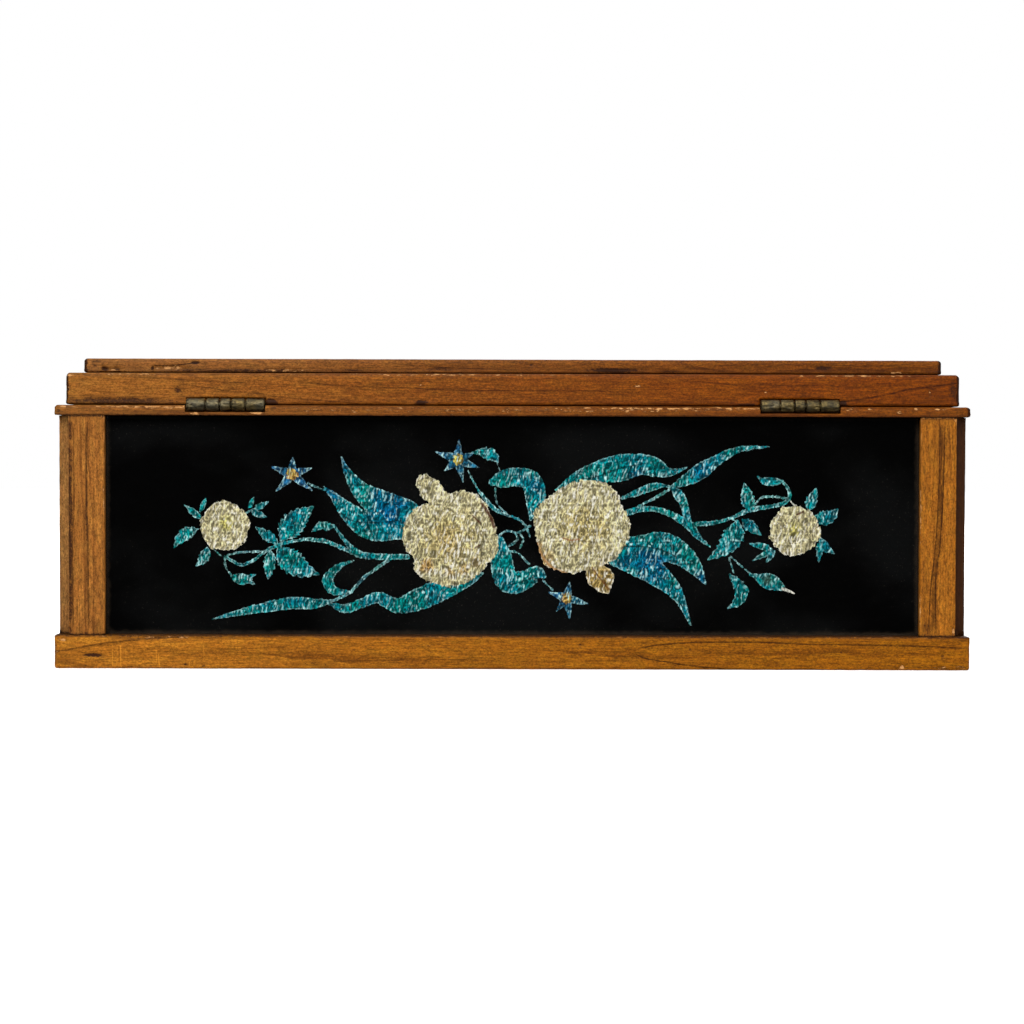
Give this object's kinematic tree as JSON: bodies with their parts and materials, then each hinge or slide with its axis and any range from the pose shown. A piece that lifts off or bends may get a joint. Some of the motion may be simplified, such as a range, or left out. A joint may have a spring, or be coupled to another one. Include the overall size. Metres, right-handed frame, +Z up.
{
  "type": "hinged trinket box",
  "caption": "Long wooden box with a hinged lid, its sides and lid framed panels of black glass that show crumpled foil flowers and leaves, with brass butt hinges at the rear.",
  "frame": {"origin": "centre of the underside, on the surface that the box stands on", "axes": "+X along the box to its right as seen from the front, +Y from the front to the hinge side, +Z up"},
  "size_m": [0.2968, 0.125, 0.1007],
  "materials": {
    "varnished_wood": "old amber varnish, worn pale on the edges",
    "plain_wood": "bare, darkened",
    "black_glass": "clear glass, painted black behind",
    "crumpled_foil": "fine crumple, tinted cream, teal and blue",
    "aged_brass": "dull, tarnished"
  },
  "bodies": {
    "box": {"base_rail_front": "varnished_wood", "base_rail_left": "varnished_wood", "base_rail_rear": "varnished_wood", "base_rail_right": "varnished_wood", "bottom_board": "plain_wood", "foil_front": "crumpled_foil", "foil_left": "crumpled_foil", "foil_rear": "crumpled_foil", "foil_right": "crumpled_foil", "glass_front": "black_glass", "glass_left": "black_glass", "glass_rear": "black_glass", "glass_right": "black_glass", "hinge_leaf_box_left": "aged_brass", "hinge_leaf_box_right": "aged_brass", "hinge_pin_left": "aged_brass", "hinge_pin_right": "aged_brass", "inner_board_front": "plain_wood", "inner_board_left": "plain_wood", "inner_board_rear": "plain_wood", "inner_board_right": "plain_wood", "lip_rail_front": "varnished_wood", "lip_rail_left": "varnished_wood", "lip_rail_rear": "varnished_wood", "lip_rail_right": "varnished_wood", "stile_front_left": "varnished_wood", "stile_front_right": "varnished_wood", "stile_left_front": "varnished_wood", "stile_left_rear": "varnished_wood", "stile_rear_left": "varnished_wood", "stile_rear_right": "varnished_wood", "stile_right_front": "varnished_wood", "stile_right_rear": "varnished_wood"},
    "lid": {"hinge_leaf_lid_left": "aged_brass", "hinge_leaf_lid_right": "aged_brass", "lid_bead_front": "varnished_wood", "lid_bead_left": "varnished_wood", "lid_bead_rear": "varnished_wood", "lid_bead_right": "varnished_wood", "lid_board": "plain_wood", "lid_foil": "crumpled_foil", "lid_glass": "black_glass", "lid_rail_front": "varnished_wood", "lid_rail_left": "varnished_wood", "lid_rail_rear": "varnished_wood", "lid_rail_right": "varnished_wood"}
  },
  "joints": [
    {"name": "lid_hinge", "type": "hinge", "parent": "box", "child": "lid", "pos_m": [0, 0.0603, 0.08555], "axis": [-1, 0, 0], "range_deg": [0, 110]}
  ]
}
